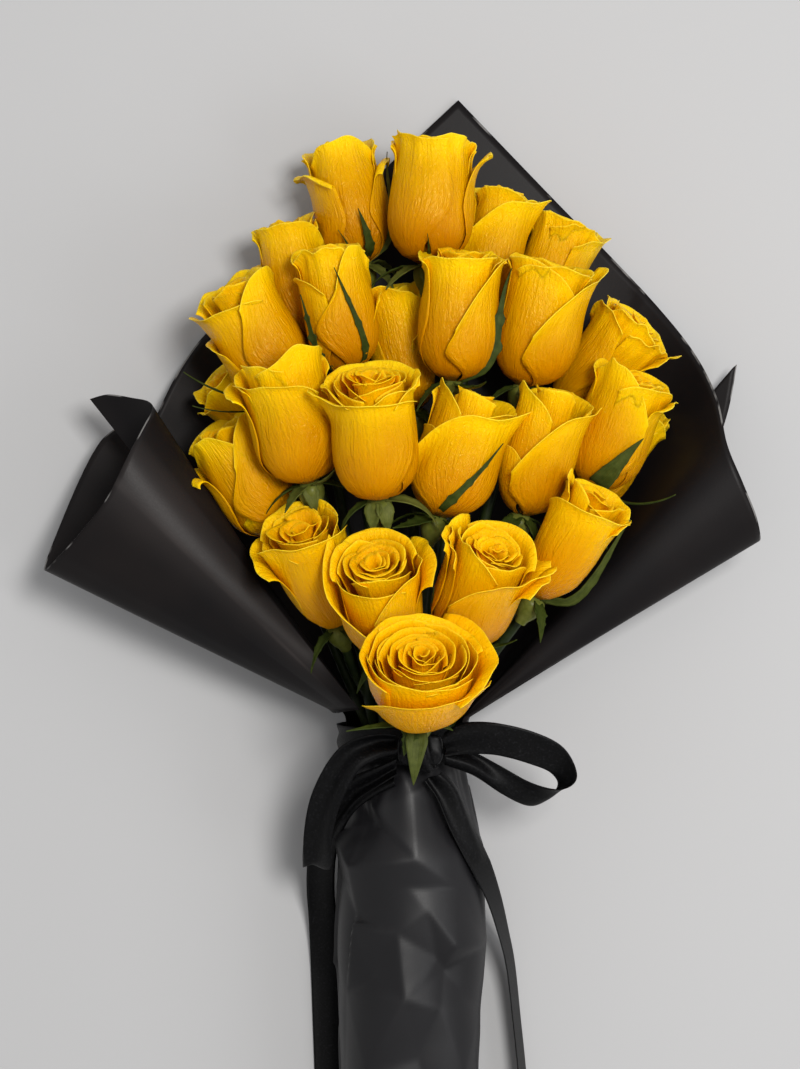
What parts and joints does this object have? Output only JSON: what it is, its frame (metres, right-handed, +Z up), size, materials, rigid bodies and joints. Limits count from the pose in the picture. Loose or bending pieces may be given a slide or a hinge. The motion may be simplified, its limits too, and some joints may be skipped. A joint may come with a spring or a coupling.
{
  "type": "bouquet of roses",
  "caption": "Bouquet of yellow roses tied and wrapped in stiff black sheets with a rolled collar, a wrapped handle and a satin bow, lying on its back.",
  "frame": {"origin": "centre of the footprint, on the surface that the bouquet lies on", "axes": "+Y from the handle toward the flower heads, +Z up, the way the flowers face, +X to the right when looking down on the flowers with the heads at the top"},
  "size_m": [0.3362, 0.564, 0.155],
  "materials": {
    "petals": "soft satin petals",
    "stems": "waxy green",
    "wrapping_sheet": "matte black with a soft sheen",
    "handle_film": "creased satin film",
    "ribbon": "black satin",
    "tie_band": "matte"
  },
  "bodies": {
    "root": {"rose_01_bloom": "petals", "rose_02_bloom": "petals", "rose_03_bloom": "petals", "rose_04_bloom": "petals", "rose_05_bloom": "petals", "rose_06_bloom": "petals", "rose_07_bloom": "petals", "rose_08_bloom": "petals", "rose_09_bloom": "petals", "rose_10_bloom": "petals", "rose_11_bloom": "petals", "rose_12_bloom": "petals", "rose_13_bloom": "petals", "rose_14_bloom": "petals", "rose_15_bloom": "petals", "rose_16_bloom": "petals", "rose_17_bloom": "petals", "rose_18_bloom": "petals", "rose_19_bloom": "petals", "rose_20_bloom": "petals", "rose_21_bloom": "petals", "rose_22_bloom": "petals", "rose_23_bloom": "petals", "rose_24_bloom": "petals", "rose_01_stem": "stems", "rose_02_stem": "stems", "rose_03_stem": "stems", "rose_04_stem": "stems", "rose_05_stem": "stems", "rose_06_stem": "stems", "rose_07_stem": "stems", "rose_08_stem": "stems", "rose_09_stem": "stems", "rose_10_stem": "stems", "rose_11_stem": "stems", "rose_12_stem": "stems", "rose_13_stem": "stems", "rose_14_stem": "stems", "rose_15_stem": "stems", "rose_16_stem": "stems", "rose_17_stem": "stems", "rose_18_stem": "stems", "rose_19_stem": "stems", "rose_20_stem": "stems", "rose_21_stem": "stems", "rose_22_stem": "stems", "rose_23_stem": "stems", "rose_24_stem": "stems", "stem_tie": "tie_band", "back_sheet": "wrapping_sheet", "under_sheet": "wrapping_sheet", "left_wing": "wrapping_sheet", "handle_wrap": "handle_film", "ribbon_band": "ribbon", "ribbon_knot": "ribbon", "bow_loop_left": "ribbon", "bow_loop_right": "ribbon", "ribbon_tail_left": "ribbon", "ribbon_tail_right": "ribbon"}
  },
  "joints": []
}
